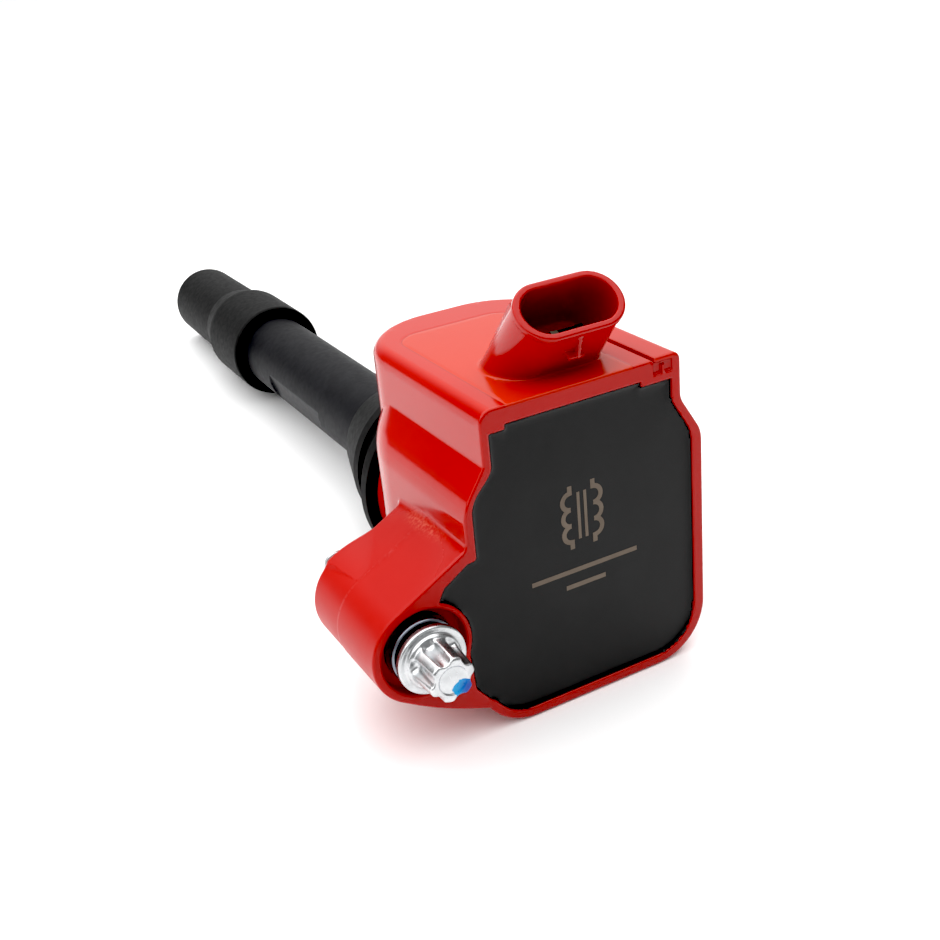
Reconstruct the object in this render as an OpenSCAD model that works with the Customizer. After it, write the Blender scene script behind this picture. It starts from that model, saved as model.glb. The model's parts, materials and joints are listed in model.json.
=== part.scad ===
// Coil-on-plug ignition coil with a bolted ear, a tilted connector and a long plug stem.
// +Y runs along the plug axis from the potted face to the plug boot, +Z is the connector side.
// The origin is on the plug axis, in the middle of the seal lip that enters the plug well.

/* [Head] */
// Width of the upper part of the head
head_w = 40.4; // [40:0.1:41]
// Depth of the head from the front rim to its back wall
head_depth = 53.4; // [52:0.1:53.6]
// Height of the top face above the plug axis
head_top = 38.7; // [38.2:0.1:39.4]
// Drop of the bottom face below the plug axis
head_drop = 23.5; // [23.2:0.1:24]
// Half width of the lower part of the head
belly_half = 24.7; // [24.4:0.1:25.2]

/* [Ear] */
// Distance from the plug axis to the screw axis, sideways
ear_x = 34.5; // [34.2:0.1:35]
// Distance of the screw axis below the plug axis
ear_drop = 1.5; // [1:0.1:2]
// Outer radius of the ear boss
ear_r = 9.8; // [9.6:0.1:10.4]
// Depth of the ear
ear_depth = 26.4; // [26:0.1:28]

/* [Connector] */
// Tilt of the connector towards the potted face, in degrees
tilt = 41; // [39:0.5:43]
// Outer width of the connector shroud
shroud_w = 20.8; // [20.4:0.1:21.6]
// Outer height of the connector shroud
shroud_h = 11.2; // [10.9:0.1:11.8]
// Depth of the socket
socket_depth = 14; // [13:0.5:14.5]

/* [Stem and boot] */
// Outer radius of the rigid stem
stem_r = 9.75; // [9.6:0.05:9.9]
// Distance from the front rim to the near face of the boot collar
collar_y = 160.2; // [158:0.1:161]
// Distance from the front rim to the end of the boot
tip_y = 225.2; // [224:0.1:232]
// Radius of the boot collar
collar_r = 12.7; // [12.6:0.1:13.2]
// Outer radius of the boot at its open end
tip_r = 10.3; // [10:0.1:10.5]
// Radius of the hole that grips the plug insulator
plug_bore_r = 5.1; // [5:0.05:5.3]

/* [Screw] */
// Thread radius of the mounting screw
screw_r = 3; // [3:0.1:3.1]
// Length of the screw under its flange
screw_length = 40; // [38:0.5:45]
// Length of the mounting screw's threaded end
thread_length = 10.5; // [6:0.5:11]
// Height of the flange above the bush before the screw is driven home
screw_lift = 1.5; // [1:0.1:2]
// Radius of the screw flange
flange_r = 6.5; // [6.3:0.1:6.8]

/* [Hidden] */
$fn = 64;
over = 1;

// Everything is drawn from the front rim; this is where the sealing lip lies behind it.
lip_depth = 67.5;
lip_land = 2.4;
lip_r = 17;

// Head outline
head_half = head_w / 2;
shoulder_z = 28.5;
belly_z = 15;
top_corner_r = 2.5;
bottom_corner_r = 11;
upper_back_r = 16;
lower_back_r = 24;
rim_pad_h = 0.35;
rim_pad_x = 14.3;
rim_pad_inset = 1.5;
rim_pad_depth = 38;

// Cavity outline
side_wall = 1.6;
top_wall = 3.4;
cavity_drop = head_drop - 2;
cavity_half = belly_half - 2;
cavity_top = head_top - top_wall;
cavity_end = head_depth - 2;
cavity_corner_r = 8.8;
cavity_notch_x0 = -15.5;
cavity_notch_x1 = 11.8;
cavity_notch_h = 1;
potting_y = 0.8;
pocket_depth = 20;

// Ear
ear_z = -ear_drop;
ear_top_slope = 28.6;
ear_bottom_slope = 32.5;
counterbore_r = 8.1;
counterbore_depth = 3;
boss_wall_r = 9.1;
bush_r = 6.3;
bush_bore_r = 3.6;
bush_end = ear_depth + 0.5;
ear_reach = 19.4;
ear_foot_lift = 1.3;
ear_foot_x = 3.6;
ear_foot_z = 0.4;

// Spigot, seal and stem
collar_plate_r = 18;
collar_plate_y = 40;
spigot_r = 15;
seal_y = 54.4;
spigot_end = 70;
seal_disc_r = 20.4;
seal_disc_t = 3.2;
seal_end = 83.6;
seal_groove_r = spigot_r + 0.9;
seal_tail_r = 12.1;
seal_tail_edge = 0.8;
stem_bore_r = 4.5;
stem_neck_r = 7.2;
stem_neck_y = collar_y + 5.8;
stem_end = collar_y + 21.8;
boot_taper_y0 = collar_y + 22.5;
boot_taper_y1 = collar_y + 31.5;
collar_wall = 1.2;
throat_r = stem_bore_r - 0.6;
throat_start = stem_end + 2;
throat_end = stem_end + 6;
bore_start = throat_end + 3;
bore_relief = 0.4;
bore_bevel = 0.9;
window_flat = 8.9;
window_turn = -18;
window_y0 = 107;
window_y1 = 141;

// Connector
mouth_y = 2.6;
mouth_z = head_top + 12.9;
shroud_wall = 1.1;
carrier_w = 15;
carrier_h = 6;
carrier_t = 8;
pin_pitch = 5;
pin_w = 1.5;
pin_t = 0.8;
pin_rise = 5.5;
latch_w = 3.2;
latch_rib = 0.7;
latch_v = shroud_h / 2 + 1.4;
latch_root = 2;
latch_start = 2;
latch_end = 6.1;
latch_foot = 0.8;
fin_x = 8.4;
fin_t = 0.5;
fin_v = 5;
fin_root = 2;
fin_start = 2.4;
fin_end = 15.8;
pin_foot_y = 10;
pin_foot_z = 32;
way_depth = 14;
shroud_reach = 30;

// Transformer, centred on a vertical axis behind the potted face
core_y = 25;
core_half = 4;
core_bottom = -13;
core_top = 21;
magnet_t = 1.5;
bobbin_gap = 0.2;
bobbin_bottom = core_bottom + bobbin_gap;
bobbin_top = core_top - bobbin_gap;
yoke_t = 5;
frame_half = 20;
frame_t = 9;
frame_corner_r = 4;
core_gap = 0.1;
primary_wall = 5.2;
primary_out = 7.2;
primary_flange = 7.4;
primary_corner_r = 0.6;
winding_corner_r = 1.5;
secondary_in = 7.6;
secondary_wall = 8.6;
secondary_out = 12.4;
secondary_flange = 12.8;
flange_t = 1;
secondary_corner_r = 2;
chambers = 6;
chamber_pitch = (bobbin_top - bobbin_bottom - flange_t) / chambers;

// Driver module, its heat spreader and the strips to the primary winding
module_half = 8;
module_y0 = 4;
module_y1 = 8.5;
module_z0 = 22.5;
module_z1 = 34;
spreader_edge = 1;
spreader_t = 1.5;
lead_x = [-6.7, 5.2];
lead_w = 1.5;
lead_t = 0.8;
lead_z = 22.6;
lead_end_y = 17.4;

// High-voltage path along the plug axis
hv_r = 3;
hv_start = 44;
hv_head_y = 57.5;
hv_head_r = 4.2;
hv_head_t = 1.5;
diode_r = 1.6;
diode_y = 41.5;
diode_z0 = 4;
diode_z1 = 12;
tap_z = 16.5;
resistor_y0 = 86;
resistor_y1 = 132;
resistor_r = 3.6;
cap_r = 3.9;
cap_t = 2;
contact_r = 4.42;
contact_y0 = 170;
contact_guide = 13.9;
contact_nose_r = 3.4;
contact_end = 190;
contact_cup_r = 2.4;
contact_cup_depth = 4;
wire_r = 0.5;
coil_r = 3.2;

// Screw
screw_top_y = -10.1;
screw_flange_t = 1.7;
flange_edge = 0.9;
flange_bevel = 1.1;
crown = 0.4;
dish_r = 1.9;
dish_depth = 0.5;
lobe_turn = 15;
lobe_r = 0.95;
lobe_circle = 3.1;
neck_r = 2.6;
shank_r = screw_r - 0.2;
thread_y0 = screw_length - screw_lift - thread_length;
neck_y0 = 8;
neck_y1 = 13;
ring_in = 2.68;
ring_out = 3.52;
ring_gap = 0.4;

// Moves a shape drawn from the front rim into the part's frame.
module from_front() {
    translate([0, -lip_depth, 0]) children();
}

// A round bar along Y.
module rod(r, y0, y1) {
    translate([0, y0, 0]) rotate([-90, 0, 0]) cylinder(r = r, h = y1 - y0);
}

// A round sleeve along Y.
module sleeve(r_in, r_out, y0, y1) {
    difference() {
        rod(r_out, y0, y1);
        rod(r_in, y0 - over, y1 + over);
    }
}

// An outline in X and Z, pushed along Y.
module along_y(y0, y1) {
    translate([0, y1, 0]) rotate([90, 0, 0]) linear_extrude(y1 - y0) children();
}

// A profile in radius and distance, turned about Y.
module lathe_y() {
    rotate([-90, 0, 0]) rotate_extrude() children();
}

// A box from its two corners.
module block(low, high) {
    translate(low) cube(high - low);
}

// The waste left when a square corner is rounded; sx and sy point into the material.
module corner_waste(x, y, sx, sy, r) {
    difference() {
        translate([min(x - sx * over, x + sx * r), min(y - sy * over, y + sy * r)]) square(r + over);
        translate([x + sx * r, y + sy * r]) circle(r);
    }
}

// A square with four round corners, centred.
module round_square(half, r) {
    difference() {
        square(2 * half, center = true);
        for (sx = [-1, 1], sy = [-1, 1]) corner_waste(sx * half, sy * half, -sx, -sy, r);
    }
}

// A slot shape with round ends, centred.
module stadium(w, h) {
    square([w - h, h], center = true);
    for (s = [-1, 1]) translate([s * (w - h) / 2, 0]) circle(h / 2);
}

// The outline of the head seen from the front, without the ear.
module head_outline() {
    difference() {
        translate([-head_half, belly_z]) square([head_w, head_top - belly_z]);
        for (s = [-1, 1]) corner_waste(s * head_half, head_top, -s, -1, top_corner_r);
    }
    for (s = [-1, 1]) scale([s, 1]) polygon([[0, belly_z], [0, shoulder_z], [head_half, shoulder_z],
        [head_half + 0.8, shoulder_z - 2.3], [belly_half - 1.4, shoulder_z - 5],
        [belly_half - 0.3, shoulder_z - 8.4], [belly_half, belly_z]]);
    difference() {
        translate([-belly_half, -head_drop]) square([2 * belly_half, belly_z + head_drop]);
        for (s = [-1, 1]) corner_waste(s * belly_half, -head_drop, -s, 1, bottom_corner_r);
    }
}

// The outline of the potted cavity seen from the front, without the pockets beside the ear.
module cavity_outline() {
    notch_z = cavity_top - cavity_notch_h;
    translate([side_wall - head_half, belly_z]) square([head_w - 2 * side_wall, notch_z - belly_z]);
    translate([cavity_notch_x0, belly_z])
        square([cavity_notch_x1 - cavity_notch_x0, cavity_top - belly_z]);
    for (s = [-1, 1]) scale([s, 1]) polygon([[0, belly_z], [0, shoulder_z],
        [head_half - side_wall, shoulder_z], [head_half - 0.2, shoulder_z - 2.4],
        [belly_half - 3, shoulder_z - 4.6], [cavity_half - 0.4, shoulder_z - 7.2],
        [cavity_half, belly_z]]);
    difference() {
        translate([-cavity_half, -cavity_drop]) square([2 * cavity_half, belly_z + cavity_drop]);
        for (s = [-1, 1]) corner_waste(s * cavity_half, -cavity_drop, -s, 1, cavity_corner_r);
    }
}

// The plan of a block with round back corners, seen from above.
module plan(half, depth, r) {
    difference() {
        translate([-half, -over]) square([2 * half, depth + over]);
        for (s = [-1, 1]) corner_waste(s * half, depth, -s, -1, r);
    }
}

// The head without its ear, solid.
module head_block() {
    intersection() {
        along_y(0, head_depth) head_outline();
        union() {
            translate([0, 0, shoulder_z]) linear_extrude(head_top - shoulder_z + over)
                plan(head_half, head_depth, upper_back_r);
            translate([0, 0, -head_drop - over]) linear_extrude(shoulder_z + head_drop + over)
                plan(belly_half, head_depth, lower_back_r);
        }
    }
}

// The ear's outline: a round boss joined to the head by two straight edges.
module ear_outline() {
    // The straight edges run just inside the boss, so that they cross it cleanly
    edge_r = ear_r - 0.05;
    top_x = -ear_x - edge_r * sin(ear_top_slope);
    top_z = ear_z + edge_r * cos(ear_top_slope);
    low_x = -ear_x - edge_r * sin(ear_bottom_slope);
    low_z = ear_z - edge_r * cos(ear_bottom_slope);
    drop = low_z + head_drop - ear_foot_lift;
    flat_x = bottom_corner_r - belly_half;
    polygon([[top_x + ear_reach * cos(ear_top_slope), top_z + ear_reach * sin(ear_top_slope)],
        [top_x, top_z], [-ear_x, ear_z], [low_x, low_z],
        [low_x + drop / tan(ear_bottom_slope), low_z - drop],
        [flat_x - ear_foot_x, ear_foot_z - head_drop], [flat_x, -head_drop], [flat_x, belly_z]]);
    translate([-ear_x, ear_z]) circle(ear_r);
}

// The two small pockets between the ear boss and the head, open to the front.
module ear_pockets() {
    difference() {
        union() {
            polygon([[3 - belly_half, 12.4], [-25.3, 11.6], [-28.6, 9.8], [-30, 8.4], [-30.5, 7.1],
                [-27, 0], [3 - belly_half, 0]]);
            polygon([[3 - belly_half, 0], [-27, 0], [-25.9, -4], [-25.2, -13.2], [-23.4, -15],
                [3 - belly_half, -15]]);
        }
        translate([-ear_x, ear_z]) circle(boss_wall_r);
    }
}

// The space that the potting compound fills.
module cavity(front) {
    intersection() {
        along_y(front, cavity_end) cavity_outline();
        union() {
            translate([0, 0, shoulder_z - over]) linear_extrude(cavity_top - shoulder_z + 2 * over)
                plan(head_half - side_wall, cavity_end, upper_back_r - side_wall);
            translate([0, 0, -head_drop]) linear_extrude(shoulder_z + head_drop - over)
                plan(cavity_half, cavity_end, lower_back_r - 2);
        }
    }
    along_y(front, pocket_depth) ear_pockets();
}

// Places a shape drawn along the connector, with its mouth at height 0.
module in_connector() {
    translate([0, mouth_y, mouth_z]) rotate([tilt, 0, 0]) children();
}

// The way through the socket's floor and the top wall for the terminal carrier and the pins' feet.
module carrier_way() {
    in_connector() translate([-carrier_w / 2, -carrier_h / 2, -socket_depth - way_depth])
        cube([carrier_w, carrier_h, way_depth + over]);
}

// The connector shroud, cut off level with the inside of the top wall.
module shroud() {
    intersection() {
        in_connector() translate([0, 0, -shroud_reach]) linear_extrude(shroud_reach)
            stadium(shroud_w, shroud_h);
        block([-head_half, -over, cavity_top], [head_half, head_depth, mouth_z + shroud_h]);
    }
    // Latch on the front of the shroud: a foot under a thin sloping rib
    in_connector() translate([-latch_w / 2, -latch_v, -latch_end])
        cube([latch_w, latch_root, latch_foot]);
    in_connector() translate([-latch_rib / 2, 0, 0]) rotate([90, 0, 90]) linear_extrude(latch_rib)
        polygon([[latch_root - latch_v, -latch_start], [-latch_v, latch_foot - latch_end],
            [-latch_v, -latch_end], [latch_root - latch_v, -latch_end]]);
    // Guide fins on the back of the shroud
    in_connector() for (s = [-1, 1]) translate([s * fin_x - fin_t / 2, fin_root, -fin_end])
        cube([fin_t, fin_v - fin_root, fin_end - fin_start]);
}

module coil_housing() {
    color("firebrick") from_front() difference() {
        union() {
            head_block();
            along_y(0, ear_depth) ear_outline();
            rod(collar_plate_r, collar_plate_y, seal_y);
            rod(spigot_r, seal_y - over, spigot_end);
            shroud();
            block([rim_pad_x, 0, head_top - over], [head_half - rim_pad_inset, rim_pad_depth,
                head_top + rim_pad_h]);
        }
        cavity(-over);
        in_connector() translate([0, 0, -socket_depth]) linear_extrude(socket_depth + over)
            stadium(shroud_w - 2 * shroud_wall, shroud_h - 2 * shroud_wall);
        carrier_way();
        rod(hv_r, cavity_end - over, head_depth + over);
        rod(stem_r, head_depth, spigot_end + over);
        translate([-ear_x, 0, ear_z]) rod(counterbore_r, -over, counterbore_depth);
        translate([-ear_x, 0, ear_z]) rod(bush_r, 0, ear_depth + over);
    }
}

// Everything that the compound is poured around, as plain outer shapes.
module potted_parts() {
    translate([0, core_y, bobbin_bottom]) linear_extrude(bobbin_top - bobbin_bottom)
        round_square(secondary_flange, secondary_corner_r);
    outer_core_shape();
    block([-core_half, core_y - core_half, core_bottom], [core_half, core_y + core_half, core_top]);
    module_shape();
    spreader_shape();
    lead_shapes();
    carrier_way();
    pin_shapes();
    diode_shape();
    hv_lead_shapes();
    rod(hv_r, hv_start, cavity_end + over);
}

module potting_compound() {
    color("black") from_front() difference() {
        cavity(potting_y);
        potted_parts();
    }
}

module compression_bush() {
    color("silver") from_front() translate([-ear_x, 0, ear_z]) sleeve(bush_bore_r, bush_r, 0, bush_end);
}

module mounting_screw() {
    seat = -screw_lift;
    color("gainsboro") from_front() translate([-ear_x, 0, ear_z]) difference() {
        union() {
            // Flange with a bevelled top
            lathe_y() polygon([[0, seat], [flange_r, seat], [flange_r, seat - flange_edge],
                [flange_r - flange_bevel, seat - screw_flange_t],
                [lobe_circle, seat - screw_flange_t - crown], [0, seat - screw_flange_t - crown]]);
            // Six-lobe head
            along_y(screw_top_y, seat - screw_flange_t) {
                circle(lobe_circle - 0.05);
                for (i = [0:5]) rotate(60 * i + lobe_turn) translate([lobe_circle, 0]) circle(lobe_r);
            }
            // Reduced shank with the retainer's neck, then the thread at its outer size
            rod(shank_r, seat - over, neck_y0);
            rod(neck_r, neck_y0 - over, neck_y1 + over);
            rod(shank_r, neck_y1, thread_y0 + over);
            rod(screw_r, thread_y0, seat + screw_length);
        }
        // Shallow dish in the end of the head
        rod(dish_r, screw_top_y - over, screw_top_y + dish_depth);
    }
}

module screw_retainer() {
    color("dimgray") from_front() translate([-ear_x, 0, ear_z])
        sleeve(ring_in, ring_out, neck_y0 + ring_gap, neck_y1 - ring_gap);
}

module well_seal() {
    lip_y0 = lip_depth - lip_land / 2;
    lip_y1 = lip_depth + lip_land / 2;
    color("dimgray") from_front() lathe_y() polygon([[spigot_r, seal_y], [seal_disc_r, seal_y],
        [seal_disc_r, seal_y + seal_disc_t], [seal_groove_r, seal_y + seal_disc_t + 0.6],
        [seal_groove_r, lip_y0 - 0.4], [lip_r, lip_y0], [lip_r, lip_y1],
        [seal_tail_r + 0.6, seal_end - seal_tail_edge], [seal_tail_r, seal_end], [stem_r, seal_end],
        [stem_r, spigot_end], [spigot_r, spigot_end]]);
}

module stem_tube() {
    color("black") from_front() difference() {
        union() {
            rod(stem_r, head_depth, stem_neck_y);
            rod(stem_neck_r, stem_neck_y - over, stem_end);
        }
        rod(stem_bore_r, head_depth - over, stem_end + over);
        // Two shallow flats along the sides
        rotate([0, window_turn, 0]) {
            block([-stem_r - over, window_y0, -stem_r], [-window_flat, window_y1, stem_r]);
            block([window_flat, window_y0, -stem_r], [stem_r + over, window_y1, stem_r]);
        }
    }
}

module plug_boot() {
    gap_r = collar_r - collar_wall;
    relief_r = plug_bore_r + bore_relief;
    color("dimgray") from_front() lathe_y() polygon([[gap_r, collar_y], [collar_r, collar_y],
        [collar_r, boot_taper_y0], [tip_r + 0.3, boot_taper_y1], [tip_r, tip_y],
        [plug_bore_r + bore_bevel, tip_y], [plug_bore_r, tip_y - bore_bevel],
        [plug_bore_r, bore_start], [relief_r, bore_start], [relief_r, throat_end],
        [throat_r, throat_end], [throat_r, throat_start], [stem_bore_r, throat_start],
        [stem_bore_r, stem_end], [stem_neck_r, stem_end], [stem_neck_r, stem_neck_y],
        [gap_r, stem_neck_y]]);
}

module terminal_carrier() {
    color("darkslategray") from_front() in_connector() difference() {
        translate([-carrier_w / 2, -carrier_h / 2, -socket_depth - carrier_t])
            cube([carrier_w, carrier_h, carrier_t]);
        for (x = [-pin_pitch, 0, pin_pitch])
            translate([x - pin_w / 2, -pin_t / 2, -socket_depth - carrier_t - over])
                cube([pin_w, pin_t, carrier_t + 2 * over]);
    }
}

// Three blades that run down the connector, then forward to the driver module.
module pin_shapes() {
    run = (mouth_z - pin_foot_z) / cos(tilt);
    foot_y = mouth_y + run * sin(tilt);
    for (x = [-pin_pitch, 0, pin_pitch]) translate([x - pin_w / 2, 0, 0]) {
        in_connector() translate([0, -pin_t / 2, -run]) cube([pin_w, pin_t, run - socket_depth + pin_rise]);
        block([0, pin_foot_y, pin_foot_z - pin_t / 2], [pin_w, foot_y + pin_t / 2, pin_foot_z + pin_t / 2]);
    }
}

module terminal_pins() {
    color("goldenrod") from_front() pin_shapes();
}

module module_shape() {
    block([-module_half, module_y0, module_z0], [module_half, module_y1, module_z1]);
}

module driver_module() {
    color("black") from_front() module_shape();
}

module spreader_shape() {
    block([-module_half - spreader_edge, module_y1, module_z0 - spreader_edge / 2],
        [module_half + spreader_edge, module_y1 + spreader_t, module_z1 + spreader_edge / 2]);
}

module heat_spreader() {
    color("darkgray") from_front() spreader_shape();
}

// Two strips from the driver module to the primary winding's ends.
module lead_shapes() {
    for (x = lead_x) {
        block([x, module_y1 + spreader_t, lead_z], [x + lead_w, lead_end_y, lead_z + lead_t]);
        block([x, lead_end_y - lead_t, bobbin_top + core_gap], [x + lead_w, lead_end_y, lead_z + lead_t / 2]);
    }
}

module lead_frame() {
    color("goldenrod") from_front() lead_shapes();
}

module outer_core_shape() {
    difference() {
        along_y(core_y - frame_t / 2, core_y + frame_t / 2) difference() {
            translate([-frame_half, core_bottom - yoke_t])
                square([2 * frame_half, core_top - core_bottom + 2 * yoke_t]);
            for (s = [-1, 1]) corner_waste(s * frame_half, core_bottom - yoke_t, -s, 1, frame_corner_r);
            for (s = [-1, 1]) corner_waste(s * frame_half, core_top + yoke_t, -s, -1, frame_corner_r);
        }
        block([yoke_t - frame_half, 0, core_bottom], [frame_half - yoke_t, 2 * core_y, core_top]);
    }
}

module outer_core() {
    color("slategray") from_front() outer_core_shape();
}

module inner_core() {
    color("slategray") from_front()
        block([-core_half, core_y - core_half, core_bottom], [core_half, core_y + core_half,
            core_top - magnet_t]);
}

module core_magnet() {
    color("darkslategray") from_front()
        block([-core_half, core_y - core_half, core_top - magnet_t], [core_half, core_y + core_half,
            core_top]);
}

// A square collar with round outer corners about the transformer's axis.
module ring_block(z0, z1, half_in, half_out, r) {
    translate([0, core_y, z0]) linear_extrude(z1 - z0) difference() {
        round_square(half_out, r);
        square(2 * half_in, center = true);
    }
}

module primary_bobbin() {
    bore = core_half + core_gap;
    color("black") from_front() {
        ring_block(bobbin_bottom, bobbin_top, bore, primary_wall, primary_corner_r);
        ring_block(bobbin_bottom, bobbin_bottom + flange_t, bore, primary_flange, winding_corner_r);
        ring_block(bobbin_top - flange_t, bobbin_top, bore, primary_flange, winding_corner_r);
    }
}

module primary_winding() {
    color("chocolate") from_front() translate([0, core_y, bobbin_bottom + flange_t])
        linear_extrude(bobbin_top - bobbin_bottom - 2 * flange_t) difference() {
            round_square(primary_out, winding_corner_r);
            round_square(primary_wall, primary_corner_r);
        }
}

module secondary_bobbin() {
    color("ivory") from_front() {
        ring_block(bobbin_bottom, bobbin_top, secondary_in, secondary_wall, secondary_corner_r / 2);
        for (i = [0:chambers]) let (z = bobbin_bottom + i * chamber_pitch)
            ring_block(z, z + flange_t, secondary_in, secondary_flange, secondary_corner_r);
    }
}

// Six separate coils, one in each chamber of the secondary bobbin.
module secondary_winding() {
    color("chocolate") from_front() for (i = [0:chambers - 1])
        translate([0, core_y, bobbin_bottom + i * chamber_pitch + flange_t])
            linear_extrude(chamber_pitch - flange_t) difference() {
                round_square(secondary_out, secondary_corner_r);
                round_square(secondary_wall, secondary_corner_r / 2);
            }
}

module diode_shape() {
    translate([0, diode_y, diode_z0]) cylinder(r = diode_r, h = diode_z1 - diode_z0);
}

module hv_diode() {
    color("black") from_front() diode_shape();
}

// Two bent wires: secondary to diode, and diode to the high-voltage terminal.
module hv_lead_shapes() {
    translate([0, diode_y, diode_z1]) cylinder(r = wire_r, h = tap_z + wire_r - diode_z1);
    rod_at(tap_z, core_y + secondary_flange, diode_y);
    translate([0, diode_y, -wire_r]) cylinder(r = wire_r, h = diode_z0 + wire_r);
    rod_at(0, diode_y, hv_start);
}

// A straight piece of wire along Y at a given height.
module rod_at(z, y0, y1) {
    translate([0, 0, z]) rod(wire_r, y0, y1);
}

module hv_lead() {
    color("chocolate") from_front() hv_lead_shapes();
}

module hv_terminal() {
    color("goldenrod") from_front() {
        rod(hv_r, hv_start, hv_head_y);
        rod(hv_head_r, hv_head_y, hv_head_y + hv_head_t);
    }
}

// A wire coil along Y with flat ends left open, as one swept solid.
module coil_spring(y0, y1, turns) {
    steps = 14;
    sides = 6;
    rings = turns * steps;
    free = y1 - y0 - 2 * wire_r;
    function angle(i) = 360 * i / steps;
    function centre(i) = [coil_r * cos(angle(i)), y0 + wire_r + free * i / rings, coil_r * sin(angle(i))];
    points = [for (i = [0:rings], j = [0:sides - 1]) let (a = 360 * j / sides)
        centre(i) + wire_r * [cos(a) * cos(angle(i)), sin(a), cos(a) * sin(angle(i))]];
    walls = [for (i = [0:rings - 1], j = [0:sides - 1]) let (n = (j + 1) % sides)
        [i * sides + j, i * sides + n, (i + 1) * sides + n, (i + 1) * sides + j]];
    ends = [[for (j = [sides - 1:-1:0]) j], [for (j = [0:sides - 1]) rings * sides + j]];
    polyhedron(points, concat(walls, ends), convexity = 10);
}

module upper_spring() {
    color("silver") from_front() coil_spring(hv_head_y + hv_head_t, resistor_y0 - cap_t, 8);
}

module suppressor_resistor() {
    color("ivory") from_front() rod(resistor_r, resistor_y0, resistor_y1);
}

module resistor_caps() {
    color("silver") from_front() {
        rod(cap_r, resistor_y0 - cap_t, resistor_y0);
        rod(cap_r, resistor_y1, resistor_y1 + cap_t);
    }
}

module contact_spring() {
    color("silver") from_front() coil_spring(resistor_y1 + cap_t, contact_y0, 10);
}

module plug_contact() {
    color("goldenrod") from_front() difference() {
        union() {
            rod(contact_r, contact_y0, contact_y0 + contact_guide);
            rod(contact_nose_r, contact_y0 + contact_guide - over, contact_end);
        }
        // Cup that takes the plug's terminal
        rod(contact_cup_r, contact_end - contact_cup_depth, contact_end + over);
    }
}

coil_housing();
potting_compound();
compression_bush();
mounting_screw();
screw_retainer();
well_seal();
stem_tube();
plug_boot();
terminal_carrier();
terminal_pins();
driver_module();
heat_spreader();
lead_frame();
outer_core();
inner_core();
core_magnet();
primary_bobbin();
primary_winding();
secondary_bobbin();
secondary_winding();
hv_diode();
hv_lead();
hv_terminal();
upper_spring();
suppressor_resistor();
resistor_caps();
contact_spring();
plug_contact();
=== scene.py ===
"""Looks for the coil-on-plug ignition coil.

The moulded pieces are drawn as distance fields in millimetres, measured from the head's front rim,
and turned into meshes with true edge fillets. Round rubber and steel pieces are turned profiles.
"""

import json
import math

import bmesh
import bpy
import numpy as np
import openvdb
from mathutils import Matrix, Vector


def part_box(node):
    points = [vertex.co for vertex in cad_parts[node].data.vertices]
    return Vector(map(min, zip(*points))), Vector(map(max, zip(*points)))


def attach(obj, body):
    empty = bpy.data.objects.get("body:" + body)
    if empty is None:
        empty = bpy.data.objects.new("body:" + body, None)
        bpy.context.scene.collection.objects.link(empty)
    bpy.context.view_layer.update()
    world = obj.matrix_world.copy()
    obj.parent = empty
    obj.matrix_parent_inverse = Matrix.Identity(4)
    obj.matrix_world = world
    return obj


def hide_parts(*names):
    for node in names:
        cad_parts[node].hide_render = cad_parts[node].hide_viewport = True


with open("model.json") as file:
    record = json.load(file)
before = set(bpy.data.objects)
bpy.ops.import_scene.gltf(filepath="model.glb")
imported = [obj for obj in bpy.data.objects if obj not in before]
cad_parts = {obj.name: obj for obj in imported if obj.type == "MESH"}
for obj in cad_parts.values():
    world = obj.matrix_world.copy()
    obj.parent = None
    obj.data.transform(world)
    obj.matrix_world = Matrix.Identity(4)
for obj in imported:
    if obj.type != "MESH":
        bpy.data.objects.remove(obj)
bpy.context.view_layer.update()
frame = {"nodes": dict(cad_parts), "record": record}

MM = 0.001
bush_low, bush_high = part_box("compression_bush")
RIM_Y = bush_low.y / MM
EAR_X = (bush_low.x + bush_high.x) / 2 / MM
EAR_Z = (bush_low.z + bush_high.z) / 2 / MM

# Head, in millimetres from the front rim
TOP, BOTTOM, DEPTH = 38.7, -23.5, 53.4
HALF_UPPER, HALF_BELLY = 20.2, 24.7
BACK_R_UPPER, BACK_R_LOWER = 16.0, 24.0
WALL, WALL_RIGHT = 1.6, 1.9
BELLY_WALL, BELLY_WALL_LEFT, BELLY_WALL_RIGHT = 2.0, 1.7, 2.3
CAVITY_TOP, CAVITY_BOTTOM, CAVITY_END = 35.3, -21.5, 51.4
POTTING_Y = 0.8
EAR_R, EAR_DEPTH = 9.8, 26.4
EAR_SLOPE_TOP, EAR_SLOPE_LOW = 28.6, 32.5
PARTING_Y, PARTING_STEP, EAR_DIP = 15.0, 0.08, 0.105
COUNTERBORE_R, BUSH_R, BUSH_BORE_R, BUSH_END = 8.1, 6.3, 3.6, 26.9
POCKET_DEPTH = 20.0
COLLAR_PLATE_R, SEAL_Y, SPIGOT_R, SPIGOT_END = 18.0, 54.4, 15.0, 70.0
SEAL_R, SEAL_LIP_R, SEAL_END_R, SEAL_END = 20.4, 17.0, 12.7, 83.6
STEM_R, STEM_NECK_R, STEM_NECK_Y, STEM_END, STEM_BORE_R = 9.75, 7.2, 166.0, 182.0, 4.5
THREAD_Y = 28.0
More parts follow.
